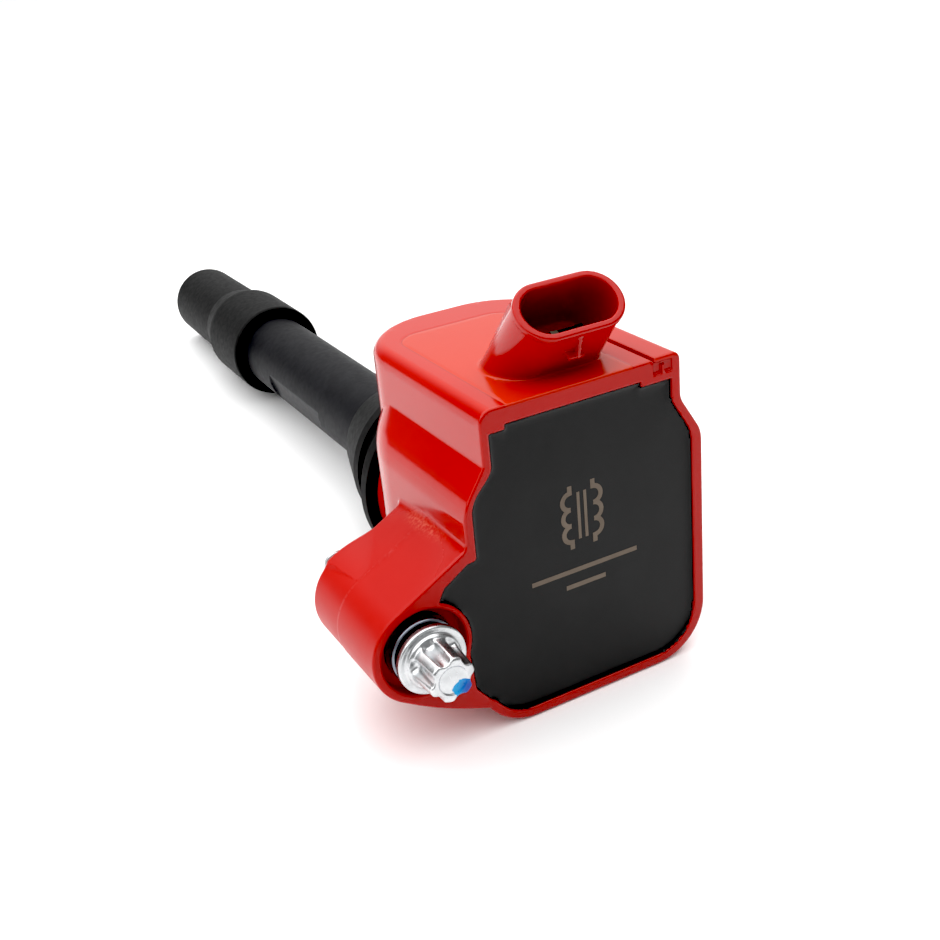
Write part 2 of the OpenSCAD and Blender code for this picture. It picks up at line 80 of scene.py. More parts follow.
# Flats on the stem: their turn, distance from the axis, middle and half length
FLAT_TURN = math.radians(18)
FLAT_HALF = 8.9
FLAT_Y = 124
FLAT_REACH = 17
# Painted reflection: the flats' paler colour stands in for the light the flats reflect
FLAT_PAINTED_REFLECTION = (0.034, 0.034, 0.036)
MARK_X, MARK_Z = -1.2, 8.0
PANEL_X, PANEL_HALF, PANEL_DEPTH, PANEL_R = -2.5, 12.7, 42.5, 5.5
GROOVE_LEFT, GROOVE_RIGHT, GROOVE_END = 14.0, 14.6, 38
TILT = math.radians(41)
MOUTH = (0.0, 2.6, 51.6)
SOCKET_DEPTH = 14.0
SOCKET_HALF_W, SOCKET_HALF_H, SHROUD_HALF_W, SHROUD_HALF_H = 8.95, 4.4, 10.08, 5.42
CARRIER_HALF_W, CARRIER_HALF_H, CARRIER_T = 7.5, 3.0, 1.5
COUNTERBORE_DEPTH, HV_WAY_R = 3.0, 3.0
COLLAR_Y, TIP_Y = 160.2, 225.2
COLLAR_R, COLLAR_GAP_R, TIP_R = 12.7, 11.5, 10.3
# Screw, along the same axis as the bush
SCREW_SEAT, SCREW_TOP, SCREW_END = -1.5, -10.1, 38.45
FLANGE_R, FLANGE_T, HEAD_R, SHANK_R, THREAD_R, THREAD_DEPTH = 6.45, 1.5, 4.35, 2.8, 2.98, 0.5
LOBES, FLUTE_R, FLUTE_AT = 6, 1.42, 4.75
NECK_START, NECK_END, NECK_DEPTH = 7.9, 13.1, 0.2
RING_IN, RING_OUT, RING_START, RING_END = 2.68, 3.52, 8.4, 12.6
VOXEL, VOXEL_QUICK, SCREW_VOXEL, SCREW_VOXEL_QUICK = 0.34, 0.5, 0.17, 0.3
# Camera: place in millimetres from the rim, turn, tilt and roll in degrees, and lens
EYE = (-104.04, -163.94, 115.88)
YAW, PITCH, ROLL = -26.40, -25.32, -5.78
LENS = 47.62
FLOOR_SLOPE, FLOOR_SIZE, FLOOR_COLOR = 0.058, 3.0, (0.96, 0.96, 0.96)
BLACK_LEVEL = 0.028


# ---------------------------------------------------------------- distance fields

def both(a, b, r=0.0):
    """Where a and b overlap, with the outer edge rounded to r."""
    if r <= 0:
        return np.maximum(a, b)
    return np.minimum(np.maximum(a, b), -r) + np.hypot(np.maximum(a + r, 0), np.maximum(b + r, 0))


def either(a, b, r=0.0):
    """a and b together, with the inner corner filled to r."""
    if np.isscalar(r) and r <= 0:
        return np.minimum(a, b)
    return np.maximum(np.minimum(a, b), r) - np.hypot(np.maximum(r - a, 0), np.maximum(r - b, 0))


def less(a, b, r=0.0):
    """a with b cut away, with the cut's edge rounded to r."""
    return both(a, -b, r)


def ramp(x, low, high):
    """0 below low, 1 above high, smooth between."""
    t = np.clip((x - low) / (high - low), 0, 1)
    return t * t * (3 - 2 * t)


def brick(x, y, z, low, high, r=0.0):
    """A box between two corners with round edges."""
    q = [np.abs(c - (a + b) / 2) - (b - a) / 2 + r for c, a, b in zip((x, y, z), low, high)]
    outside = np.sqrt(sum(np.maximum(c, 0) ** 2 for c in q))
    return outside + np.minimum(np.maximum(np.maximum(q[0], q[1]), q[2]), 0) - r


def outline(u, v, points):
    """Distance to a closed outline, negative inside."""
    shape = np.broadcast(u, v).shape
    nearest = np.full(shape, np.inf)
    inside = np.zeros(shape, bool)
    for (ax, ay), (bx, by) in zip(points, points[1:] + points[:1]):
        ex, ey = bx - ax, by - ay
        t = np.clip(((u - ax) * ex + (v - ay) * ey) / (ex * ex + ey * ey), 0, 1)
        nearest = np.minimum(nearest, (u - ax - t * ex) ** 2 + (v - ay - t * ey) ** 2)
        if ay != by:
            inside ^= ((ay > v) != (by > v)) & (u < ex * (v - ay) / ey + ax)
    return np.where(inside, -1.0, 1.0) * np.sqrt(nearest)


def rounded(corners, closed=True, steps=6):
    """A path through (x, y, radius) corners, each turned by an arc of its radius."""
    path = []
    count = len(corners)
    for i, (x, y, r) in enumerate(corners):
        here = np.array([x, y])
        if r <= 0 or (not closed and i in (0, count - 1)):
            path.append((x, y))
            continue
        before = np.array(corners[i - 1][:2]) - here
        after = np.array(corners[(i + 1) % count][:2]) - here
        before, after = before / np.linalg.norm(before), after / np.linalg.norm(after)
        half = math.acos(max(-1.0, min(1.0, float(before @ after)))) / 2
        middle = (before + after) / np.linalg.norm(before + after)
        centre = here + middle * r / math.sin(half)
        a = here + before * r / math.tan(half) - centre
        b = here + after * r / math.tan(half) - centre
        start = math.atan2(a[1], a[0])
        sweep = (math.atan2(b[1], b[0]) - start + math.pi) % (2 * math.pi) - math.pi
        for k in range(steps + 1):
            angle = start + sweep * k / steps
            path.append((centre[0] + r * math.cos(angle), centre[1] + r * math.sin(angle)))
    return path


def gradient(field, p, step=0.02):
    """The field's slope at points p, one row each."""
    columns = []
    for axis in range(3):
        ahead, behind = p.copy(), p.copy()
        ahead[:, axis] += step
        behind[:, axis] -= step
        columns.append((field(*ahead.T) - field(*behind.T)) / (2 * step))
    return np.stack(columns, 1)


def place(points):
    """Millimetres from the front rim to metres in the row's frame."""
    return (np.asarray(points) + [0, RIM_Y, 0]) * MM


def unplace(points):
    """Metres in the row's frame to millimetres from the front rim."""
    return np.array(points) / MM - [0, RIM_Y, 0]


def new_mesh(name, points, faces, normals=None):
    """A smooth-shaded object from points in metres."""
    mesh = bpy.data.meshes.new(name)
    mesh.from_pydata([tuple(p) for p in points], [], faces)
    mesh.validate()
    mesh.shade_smooth()
    if normals is not None and len(normals) == len(mesh.vertices):
        mesh.normals_split_custom_set_from_vertices([tuple(n) for n in normals])
    piece = bpy.data.objects.new(name, mesh)
    bpy.context.scene.collection.objects.link(piece)
    return piece


def sample(field, low, counts, voxel, band):
    """The field on a grid, worked out only in the blocks that the surface can cross."""
    size = 8
    blocks = -(-counts // size)
    values = np.full(blocks * size, band, np.float32)
    cells = voxel * np.arange(size)
    corner = np.stack(np.meshgrid(*[np.arange(b) for b in blocks], indexing="ij"), -1).reshape(-1, 3)
    centre = low + (corner * size + (size - 1) / 2) * voxel
    near = field(*centre.T)
    reach = 1.6 * voxel * size * math.sqrt(3) / 2 + band
    for at in corner[near < -reach] * size:
        values[at[0]:at[0] + size, at[1]:at[1] + size, at[2]:at[2] + size] = -band
    crossed = corner[np.abs(near) <= reach] * size
    for first in range(0, len(crossed), 256):
        batch = crossed[first:first + 256]
        origin = low + batch * voxel
        x = (origin[:, 0, None] + cells)[:, :, None, None]
        y = (origin[:, 1, None] + cells)[:, None, :, None]
        z = (origin[:, 2, None] + cells)[:, None, None, :]
        block = np.broadcast_to(field(x, y, z), (len(batch), size, size, size))
        for at, part in zip(batch, block):
            values[at[0]:at[0] + size, at[1]:at[1] + size, at[2]:at[2] + size] = part
    return np.clip(values[:counts[0], :counts[1], :counts[2]], -band, band)


def settle(field, points, voxel, rounds=3):
    """Pulls points onto the surface of the field."""
    for _ in range(rounds):
        slope = gradient(field, points)
        length = np.maximum(np.linalg.norm(slope, axis=1), 0.3)
        move = -(field(*points.T) / length ** 2)[:, None] * slope
        size = np.linalg.norm(move, axis=1, keepdims=True)
        points = points + move * np.minimum(1, 0.4 * voxel / np.maximum(size, 1e-9))
    return points


def from_field(name, field, low, high, voxel, flatness=0.002):
    """Meshes the surface of a distance field, with normals from its slope."""
    low, high = np.array(low, float), np.array(high, float)
    counts = np.ceil((high - low) / voxel).astype(int) + 1
    band = 3 * voxel
    grid = openvdb.FloatGrid(band)
    grid.copyFromArray(np.ascontiguousarray(sample(field, low, counts, voxel, band)))
    points, triangles, quads = grid.convertToPolygons(0.0, flatness)
    points = settle(field, points.astype(float) * voxel + low, voxel)
    faces = [tuple(f) for f in triangles.tolist()] + [tuple(f) for f in quads.tolist()]
    a, b, c = (points[quads[:, i]] for i in (0, 1, 2))
    turn = np.sum(np.cross(b - a, c - b) * gradient(field, b), 1).mean()
    if turn < 0:
        faces = [f[::-1] for f in faces]
    piece = new_mesh(name, place(points), faces)
    shape = bmesh.new()
    shape.from_mesh(piece.data)
    bmesh.ops.remove_doubles(shape, verts=shape.verts, dist=0.04 * voxel * MM)
    bmesh.ops.dissolve_degenerate(shape, edges=shape.edges, dist=0.04 * voxel * MM)
    bmesh.ops.triangulate(shape, faces=shape.faces, quad_method="BEAUTY")
    shape.to_mesh(piece.data)
    shape.free()
    piece.data.shade_smooth()
    points = unplace([v.co for v in piece.data.vertices])
    normals = gradient(field, points)
    normals /= np.maximum(np.linalg.norm(normals, axis=1, keepdims=True), 1e-9)
    piece.data.normals_split_custom_set_from_vertices([tuple(n) for n in normals])
    return piece


def turned(name, corners, centre=(0, 0), segments=144):
    """A closed profile of (radius, y, edge radius) corners turned about Y."""
    path = rounded(corners, steps=5)
    profile = [path[0]]
    for p in path[1:]:
        if math.dist(p, profile[-1]) > 1e-4:
            profile.append(p)
    count = len(profile)
    area = sum(profile[i - 1][0] * profile[i][1] - profile[i][0] * profile[i - 1][1] for i in range(count))
    side = 1 if area > 0 else -1
    points, normals, faces = [], [], []
    for i, (r, y) in enumerate(profile):
        back, ahead = profile[i - 1], profile[(i + 1) % count]
        into = np.array([r - back[0], y - back[1]])
        out = np.array([ahead[0] - r, ahead[1] - y])
        # On an arc the two edges weigh alike; where an arc meets a straight the straight one leads
        weigh = (np.linalg.norm(into), np.linalg.norm(out))
        tangent = into / weigh[0] * (weigh[0] > 0.5 * weigh[1]) + out / weigh[1] * (weigh[1] > 0.5 * weigh[0])
        tangent = tangent / np.linalg.norm(tangent)
        for k in range(segments):
            a = 2 * math.pi * k / segments
            points.append((centre[0] + r * math.cos(a), y, centre[1] + r * math.sin(a)))
            outward = side * tangent[1]
            normals.append((outward * math.cos(a), -side * tangent[0], outward * math.sin(a)))
    for i in range(count):
        j = (i + 1) % count
        for k in range(segments):
            n = (k + 1) % segments
            face = (i * segments + k, i * segments + n, j * segments + n, j * segments + k)
            faces.append(face[::-1] if side > 0 else face)
    return new_mesh(name, place(points), faces, normals)


# ---------------------------------------------------------------- housing

def arc_width(path):
    """Half width as a function of height, from a path of (height, half width)."""
    heights, widths = zip(*sorted(path))
    return lambda z: np.interp(z, heights, widths)


def shoulder(high, low, upper, belly, hollow=3.0, round_low=6.0):
    """The half width from the upper part, over a soft shoulder, to the belly."""
    above, below = 60, -40
    corners = [(above, upper, 0), (high, upper, hollow), (low, belly, round_low), (below, belly, 0)]
    return arc_width(rounded(corners, closed=False, steps=10))


LEFT = shoulder(28.8, 21.9, HALF_UPPER, HALF_BELLY, 0.6, 11.0)
RIGHT = shoulder(30.0, 22.6, HALF_UPPER, HALF_BELLY, 4.0)
LEFT_IN = shoulder(27.6, 22.8, HALF_UPPER - WALL, HALF_BELLY - BELLY_WALL_LEFT)
RIGHT_IN = shoulder(30.0, 23.0, HALF_UPPER - WALL_RIGHT, HALF_BELLY - BELLY_WALL_RIGHT)


def plan(x, y, half, depth, r):
    """Side walls, round back corners and back wall, seen from above."""
    qx = np.abs(x) - half + r
    qy = y - depth + r
    return np.hypot(np.maximum(qx, 0), np.maximum(qy, 0)) + np.minimum(np.maximum(qx, qy), 0) - r


def walls(x, y, z):
    """The narrow upper block and the wide belly, which narrows over its soft shoulders."""
    inset = HALF_BELLY - np.where(x > 0, RIGHT(z), LEFT(z))
    belly = plan(x, y, HALF_BELLY, DEPTH, BACK_R_LOWER - inset) + inset
    return np.minimum(plan(x, y, HALF_UPPER, DEPTH, BACK_R_UPPER), belly)


def inner_walls(x, y, z):
    """The same two blocks, one wall thickness inside."""
    upper = HALF_UPPER - np.where(x > 0, WALL_RIGHT, WALL)
    belly = HALF_BELLY - np.where(x > 0, BELLY_WALL_RIGHT, BELLY_WALL_LEFT)
    inset = belly - np.where(x > 0, RIGHT_IN(z), LEFT_IN(z))
    narrow = plan(x, y, upper, CAVITY_END, BACK_R_UPPER - WALL)
    return np.minimum(narrow, plan(x, y, belly, CAVITY_END, BACK_R_LOWER - BELLY_WALL - inset) + inset)


def ear(x, y, z):
    """A round boss on a web. Behind the parting line the web's top sinks away from the boss."""
    up, low = math.radians(EAR_SLOPE_TOP), math.radians(EAR_SLOPE_LOW)
    dx, dz = x - EAR_X, z - EAR_Z
    dip = EAR_DIP * np.maximum(y - PARTING_Y, 0)
    boss = np.hypot(dx, dz) - EAR_R
    above = dz * math.cos(up) - dx * math.sin(up) - EAR_R + dip
    below = -dz * math.cos(low) - dx * math.sin(low) - EAR_R
    behind = np.minimum(-dx * math.cos(up) - dz * math.sin(up), dz * math.sin(low) - dx * math.cos(low))
    web = np.maximum(both(below, BOTTOM - z, 12.0), np.maximum(behind, x + 12))
    body = either(boss, np.maximum(web, above), 0.01 + 2.6 * dip * ramp(dz, 1.0, 4.0))
    step = PARTING_STEP * ramp(y, PARTING_Y - 0.3, PARTING_Y + 0.4)
    return both(body + step, y - EAR_DEPTH, 0.9)


# The compound's two lobes beside the ear, seen from the front, as (x, z, corner radius)
POCKET_TOP = rounded([
    (-20, 12.6, 0), (-24.8, 12.2, 1), (-29.6, 9.2, 1), (-31.0, 6.6, 0.6), (-26, -4, 0), (-20, -4, 0)])
POCKET_LOW = rounded([
    (-20, 2, 0), (-27, 2, 0), (-26.2, -4, 2), (-25.5, -13.0, 1.6), (-22.6, -16.6, 2), (-20, -17, 0)])


def around_ear(x, z):
    return np.hypot(x - EAR_X, z - EAR_Z)


def cavity(x, y, z):
    """The space for the potting compound, open at the front."""
    room = both(inner_walls(x, y, z), z - CAVITY_TOP, 0.8)
    room = both(room, CAVITY_BOTTOM - z, 9.0)
    # The two upper corners are a millimetre lower
    corners = np.minimum(x + 15.5, 11.8 - x)
    room = less(room, both(corners, CAVITY_TOP - 1.0 - z, 0.3), 0.3)
    pockets = np.minimum(outline(x, z, POCKET_TOP), outline(x, z, POCKET_LOW))
    pockets = both(both(pockets, 9.1 - around_ear(x, z), 0.4), y - POCKET_DEPTH, 0.5)
    return either(room, pockets, 0.6)


def connector_axes(x, y, z):
    """Height across the connector, and distance out along it from the mouth."""
    dy, dz = y - MOUTH[1], z - MOUTH[2]
    return dy * math.cos(TILT) + dz * math.sin(TILT), dz * math.cos(TILT) - dy * math.sin(TILT)


def carrier_way(x, y, z):
    """The slot in the socket's floor that the terminal carrier fills."""
    v, w = connector_axes(x, y, z)
    across = np.maximum(np.abs(x) - CARRIER_HALF_W, np.abs(v) - CARRIER_HALF_H)
    return np.maximum(across, w + SOCKET_DEPTH - CARRIER_T)


def stadium(x, v, half_w, half_h):
    """Distance to a slot shape with round ends."""
    return np.hypot(np.maximum(np.abs(x) - (half_w - half_h), 0), v) - half_h


def socket(x, y, z):
    """The connector's hole, with a little draft."""
    v, w = connector_axes(x, y, z)
    hole = stadium(x, v, SOCKET_HALF_W - 0.03 * w, SOCKET_HALF_H - 0.01 * w)
    return both(hole, -w - SOCKET_DEPTH, 0.4)


def shroud(x, y, z):
    """The connector's sleeve, wider towards its root, with a lip, a latch and a fin."""
    v, w = connector_axes(x, y, z)
    lip_height, lip_start, lip_full = 0.26, -1.45, -1.15
    lip = lip_height * ramp(w, lip_start, lip_full)
    tube = stadium(x, v, SHROUD_HALF_W + lip - 0.04 * w, SHROUD_HALF_H + lip - 0.016 * w)
    # Latch: a foot with a thin sloping rib above it
    foot = brick(x, v, w, (-2.0, -7.1, -6.1), (1.2, -4.6, -5.3), 0.2)
    rise = (-v - 5.5) * 0.9 + (w + 2.0) * 0.44
    rib = both(brick(x, v, w, (-0.35, -7.3, -5.9), (0.35, -4.6, -1.8), 0.2), rise, 0.1)
    tube = either(tube, np.minimum(foot, rib), 0.25)
    # Thin fin on the back, on the side of the ear
    tube = either(tube, brick(x, v, w, (-8.65, 1, -15.8), (-8.15, 4.5, -2.4), 0.15), 0.12)
    return both(tube, w, 0.42)


def top_details(body, x, y, z):
    """The strip and groove on the right of the top face, and the panel's witness line."""
    strip = both(plan(x, y, HALF_UPPER, DEPTH - 15, 2), z - TOP - 0.35, 1.6)
    strip = both(strip, GROOVE_RIGHT - x, 0.15)
    body = np.minimum(body, both(strip, 36 - z))
    groove = brick(x, y, z, (GROOVE_LEFT, -2, TOP - 0.5), (GROOVE_RIGHT, GROOVE_END, TOP + 2), 0.1)
    body = less(body, groove, 0.08)
    panel = plan(x - PANEL_X, y, PANEL_HALF, PANEL_DEPTH, PANEL_R) + 0 * z
    return body + 0.05 * np.exp(-(panel / 0.3) ** 2) * ramp(z, TOP - 1.0, TOP - 0.5)


def housing(x, y, z):
    """The whole red moulding: head, ear, shroud, seal plate and spigot, with its hollows cut out."""
    body = both(walls(x, y, z), z - TOP, 2.6)
    body = top_details(body, x, y, z)
    body = both(body, BOTTOM - z, 11.0)
    body = either(body, ear(x, y, z), 0.02 + 1.0 * ramp(z, -12, 2))
    body = either(body, both(shroud(x, y, z), CAVITY_TOP - z), 0.5)
    plate = both(np.hypot(x, z) - COLLAR_PLATE_R, np.maximum(y - SEAL_Y, 36 - y), 0.6)
    body = either(body, plate, 0.8)
    body = both(body, np.where(z > TOP + 1.5, -9.0, -y), 0.45)
    body = np.minimum(body, both(np.hypot(x, z) - SPIGOT_R, np.maximum(y - SPIGOT_END, 50 - y), 0.3))
    body = less(body, cavity(x, y, z), 0.35)
    body = less(body, socket(x, y, z), 0.35)
    body = less(body, carrier_way(x, y, z))
    # Hooked recess in the front rim, top right, with a small rib in it
    recess = brick(x, y, z, (14.4, -2, 35.9), (18.4, 0.5, 38.1), 0.4)
    recess = less(recess, brick(x, y, z, (16.2, -2, 34), (16.8, 2, 37.4), 0.1))
    body = less(body, recess, 0.1)
    ring = around_ear(x, z)
    body = less(body, both(ring - COUNTERBORE_R, y - COUNTERBORE_DEPTH, 0.3), 0.45)
    body = less(body, ring - BUSH_R, 0.2)
    body = less(body, both(np.hypot(x, z) - STEM_R, DEPTH - y), 0.2)
    # A clear way along the axis for the high-voltage terminal
    return np.maximum(body, HV_WAY_R - np.hypot(x, z) + 0 * y)


def meniscus(x, y, z):
    """How far the compound climbs towards the rim, by distance from the wall."""
    wall = np.maximum(-cavity(x, 8.0 + 0 * y, z), 0)
    low = ramp(-z, 14.0, 20.0)
    return 0.62 * np.exp(-wall / 0.45) + low * 0.35 * np.exp(-wall / 1.1)


def hidden_parts(x, y, z):
    """The pieces that the compound is poured around, as their boxes."""
    filled = np.inf
    for node in ("secondary_bobbin", "driver_module", "heat_spreader", "hv_diode", "inner_core"):
        low, high = (unplace(c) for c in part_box(node))
        filled = np.minimum(filled, brick(x, y, z, low - 0.1, high + 0.1))
    low, high = (unplace(c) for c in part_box("outer_core"))
    return np.minimum(filled, brick(x, y, z, low - 0.1, high + 0.1, 4.0))


def potting(x, y, z):
    """The compound, a hair clear of the housing's walls."""
    fill = cavity(x, np.maximum(y, 4.0), z) - 0.03
    fill = np.maximum(fill, POTTING_Y - meniscus(x, y, z) - y)
    return less(fill, hidden_parts(x, y, z))


# ---------------------------------------------------------------- other pieces

def stem(x, y, z):
    """The rigid tube with two shallow flats and a stepped end."""
    r = np.hypot(x, z)
    tube = both(r - STEM_R, np.maximum(y - STEM_NECK_Y, DEPTH - y), 0.4)
    tube = np.minimum(tube, both(r - STEM_NECK_R, np.maximum(y - STEM_END, 150 - y), 0.4))
    across = x * math.cos(FLAT_TURN) + z * math.sin(FLAT_TURN)
    for side in (-1, 1):
        flat = both(FLAT_HALF - side * across, np.abs(y - FLAT_Y) - FLAT_REACH, 0.3)
        tube = less(tube, flat, 0.15)
    return less(tube, r - STEM_BORE_R, 0.3)


def screw(x, y, z):
    """Six-lobe flange screw with a real thread; the head points to -Y."""
    ux, uz = x - EAR_X, z - EAR_Z
    r = np.hypot(ux, uz)
    angle = np.arctan2(uz, ux)
    seat, end = SCREW_SEAT, SCREW_TOP
    flange = both(r - FLANGE_R, np.maximum(y - seat, seat - FLANGE_T - y), 0.45)
    cone = both(r - 5.35 - 0.5 * (y - seat + 1.3), np.maximum(y - seat, -3.6 - y), 0.2)
    flange = either(flange, cone, 0.3)
    head = both((r - HEAD_R - 0.07 * (y + 7)) * 0.95, np.maximum(y - seat, end - y), 0.55)
    # Flutes between the lobes, that run out in a round end near the flange
    pitch = 2 * math.pi / LOBES
    turn = (angle - math.radians(15)) % pitch - pitch / 2
    along = np.maximum(y + 4.9, 0) * 0.8
    flute = np.sqrt((r * np.cos(turn) - FLUTE_AT) ** 2 + (r * np.sin(turn)) ** 2 + along ** 2) - FLUTE_R
    head = less(head, flute, 0.35)
    head = less(head, both(r - 2.6, y - end - 0.25, 0.2), 0.25)
    body = either(flange, head, 0.45)
    # Neck for the retainer, reduced shank, and the threaded end
    wave = np.abs(((y - angle / (2 * math.pi)) % 1.0) - 0.5) * 2
    thread = THREAD_R - THREAD_DEPTH * ramp(1 - wave, 0.1, 0.9)
    size = SHANK_R + (thread - SHANK_R) * ramp(y, THREAD_Y, THREAD_Y + 0.8)
    size = size - NECK_DEPTH * ramp(np.minimum(y - NECK_START, NECK_END - y), 0.0, 0.3)
    shank = both((r - size) * 0.85, np.maximum(y - SCREW_END, -3 - y), 0.7)
    return either(body, shank, 0.25)


def make_moulded():
    """Every piece that comes from a distance field."""
    fine = VOXEL
    finer = SCREW_VOXEL
    return {
        "housing_shell": from_field("housing_shell", housing, (-46, -4, -26), (27, 72, 58), fine),
        "potting_face": from_field("potting_face", potting, (-33, -1, -24), (25, 53, 38), fine),
        "stem_body": from_field("stem_body", stem, (-11, 51, -11), (11, 184, 11), fine),
        "lobe_screw": from_field("lobe_screw", screw, (EAR_X - 7.5, -11, EAR_Z - 7.5),
                                 (EAR_X + 7.5, 39.5, EAR_Z + 7.5), finer, 0.001),
    }


def ribbon(path, width, y_low, y_high):
    """A flat closed strip along a path in the X-Z plane, as points and faces."""
    points, faces = [], []
    for i, (x, z) in enumerate(path):
        before, after = path[max(i - 1, 0)], path[min(i + 1, len(path) - 1)]
        dx, dz = after[0] - before[0], after[1] - before[1]
        size = math.hypot(dx, dz)
        nx, nz = -dz / size * width / 2, dx / size * width / 2
        left, right = (x - nx, z - nz), (x + nx, z + nz)
        for (px, pz), y in ((left, y_low), (right, y_low), (right, y_high), (left, y_high)):
            points.append((px, y, pz))
    for i in range(len(path) - 1):
        a, b = 4 * i, 4 * i + 4
        faces += [(a + k, a + (k + 1) % 4, b + (k + 1) % 4, b + k) for k in range(4)]
    last = 4 * len(path) - 4
    faces += [(3, 2, 1, 0), (last, last + 1, last + 2, last + 3)]
    return points, faces


def make_mark():
    """A plain transformer symbol and two rules, engraved by laser on the potted face."""
    broad, fine = 0.9, 0.6
    coil_x, turn_r, core_x, steps = 2.4, 1.6, 0.7, 12
    strokes = [([(-half, z), (half, z)], broad) for half, z in ((11.2, -4.9), (4.2, -8.0))]
    for side in (-1, 1):
        for centre in (8.9, 5.7, 2.5):
            angles = [math.pi * k / steps for k in range(steps + 1)]
            arc = [(side * (coil_x + turn_r * math.sin(a)), centre + turn_r * math.cos(a)) for a in angles]
            strokes.append((arc, broad))
        for end, away in ((10.1, 11.9), (1.3, -0.5)):
            strokes.append(([(side * coil_x, end), (side * coil_x, away)], broad))
        strokes.append(([(side * core_x, 10.3), (side * core_x, 1.1)], fine))
    points, faces = [], []
    for order, (path, width) in enumerate(strokes):
        # Strokes that cross lie at slightly different heights, so that no two faces share a plane
        front = POTTING_Y - 0.02 - 0.004 * (order % 7)
        more, sides = ribbon([(x + MARK_X, z + MARK_Z) for x, z in path], width, front, POTTING_Y + 0.05)
        faces += [tuple(len(points) + i for i in face) for face in sides]
        points += more
    mark = new_mesh("laser_mark", place(points), faces)
    mark.data.shade_flat()
    return mark


def make_turned():
    """Every piece that is a turned profile."""
    bore, throat = 5.1, 3.9
    return {
        "boot_rubber": turned("boot_rubber", [
            (COLLAR_GAP_R, COLLAR_Y, 0.2), (COLLAR_R, COLLAR_Y, 0.95), (COLLAR_R, 182.7, 9.0),
            (10.6, 191.7, 5.0), (TIP_R, TIP_Y, 1.4), (6.0, TIP_Y, 0.4), (bore, TIP_Y - 0.9, 0.3),
            (bore, 191, 0.3), (5.5, 191, 0.2),
            (5.5, 188, 0.3), (throat, 188, 0.3), (throat, 184, 0.3), (STEM_BORE_R, 184, 0.2),
            (STEM_BORE_R, STEM_END, 0.2), (STEM_NECK_R, STEM_END, 0.2), (STEM_NECK_R, STEM_NECK_Y, 0.2),
            (COLLAR_GAP_R, STEM_NECK_Y, 0.6)]),
        "seal_rubber": turned("seal_rubber", [
            (SPIGOT_R, SEAL_Y, 0.2), (SEAL_R, SEAL_Y, 0.5), (SEAL_R, SEAL_Y + 3.2, 0.7),
            (16.4, SEAL_Y + 3.9, 0.8), (15.9, 65.9, 0.6), (SEAL_LIP_R, 66.3, 0.3), (SEAL_LIP_R, 68.7, 0.9),
            (SEAL_END_R, 82.4, 1.2), (12.0, SEAL_END, 0.4), (STEM_R, SEAL_END, 0.2),
            (STEM_R, SPIGOT_END, 0.2), (SPIGOT_R, SPIGOT_END, 0.2)]),
        "bush_sleeve": turned("bush_sleeve", [
            (BUSH_BORE_R, 0, 0.3), (BUSH_R, 0, 0.6), (BUSH_R, BUSH_END, 0.35), (BUSH_BORE_R, BUSH_END, 0.3)],
            (EAR_X, EAR_Z)),
        "retainer_ring": turned("retainer_ring", [
            (RING_IN, RING_START, 0.15), (RING_OUT, RING_START, 0.3), (RING_OUT, RING_END, 0.3),
            (RING_IN, RING_END, 0.15)], (EAR_X, EAR_Z), 72),
    }


# ---------------------------------------------------------------- materials

def material(name, color, roughness, metallic=0.0, **sockets):
    """A Principled material and its node tree."""
    made = bpy.data.materials.new(name)
    made.use_nodes = True
    shader = made.node_tree.nodes["Principled BSDF"]
    shader.inputs["Base Color"].default_value = (*color, 1)
    shader.inputs["Roughness"].default_value = roughness
    shader.inputs["Metallic"].default_value = metallic
    for socket, value in sockets.items():
        shader.inputs[socket.replace("_", " ")].default_value = value
    return made


def add(made, kind, **values):
    node = made.node_tree.nodes.new(kind)
    for key, value in values.items():
        if key in node.inputs:
            node.inputs[key].default_value = value
        else:
            setattr(node, key, value)
    return node


def link(made, source, out, target, into):
    made.node_tree.links.new(source.outputs[out], target.inputs[into])


def noise(made, scale, detail=3.0, stretch=None):
    """Noise in object space, in features per metre."""
    where = add(made, "ShaderNodeTexCoord")
    node = add(made, "ShaderNodeTexNoise", Scale=scale, Detail=detail)
    if stretch:
        mapping = add(made, "ShaderNodeMapping", Scale=stretch)
        link(made, where, "Object", mapping, "Vector")
        link(made, mapping, "Vector", node, "Vector")
    else:
        link(made, where, "Object", node, "Vector")
    return node


def spread(made, source, out, low, high):
    """Maps a value to a range."""
    node = add(made, "ShaderNodeMapRange")
    node.inputs["To Min"].default_value = low
    node.inputs["To Max"].default_value = high
    link(made, source, out, node, "Value")
    return node


def color_sockets(sockets):
    return [socket for socket in sockets if socket.type == "RGBA"]


def mix_color(made, factor, *ends):
    """Mixes two ends, each a colour or a mix node, by a (node, output) pair, as the base colour."""
    node = add(made, "ShaderNodeMix", data_type="RGBA")
    links = made.node_tree.links
    links.new(factor[0].outputs[factor[1]], node.inputs[0])
    for socket, end in zip(color_sockets(node.inputs), ends):
        if isinstance(end, tuple):
            socket.default_value = (*end, 1)
        else:
            links.new(color_sockets(end.outputs)[0], socket)
    shader = made.node_tree.nodes["Principled BSDF"]
    links.new(color_sockets(node.outputs)[0], shader.inputs["Base Color"])
    return node


def blend_color(made, factor, out, dark, light):
    return mix_color(made, (factor, out), dark, light)


def bump(made, source, out, strength, distance):
    node = add(made, "ShaderNodeBump", Strength=strength, Distance=distance)
    link(made, source, out, node, "Height")
    link(made, node, "Normal", made.node_tree.nodes["Principled BSDF"], "Normal")
    return node


def rough(made, source, out, low, high):
    node = spread(made, source, out, low, high)
    link(made, node, "Result", made.node_tree.nodes["Principled BSDF"], "Roughness")


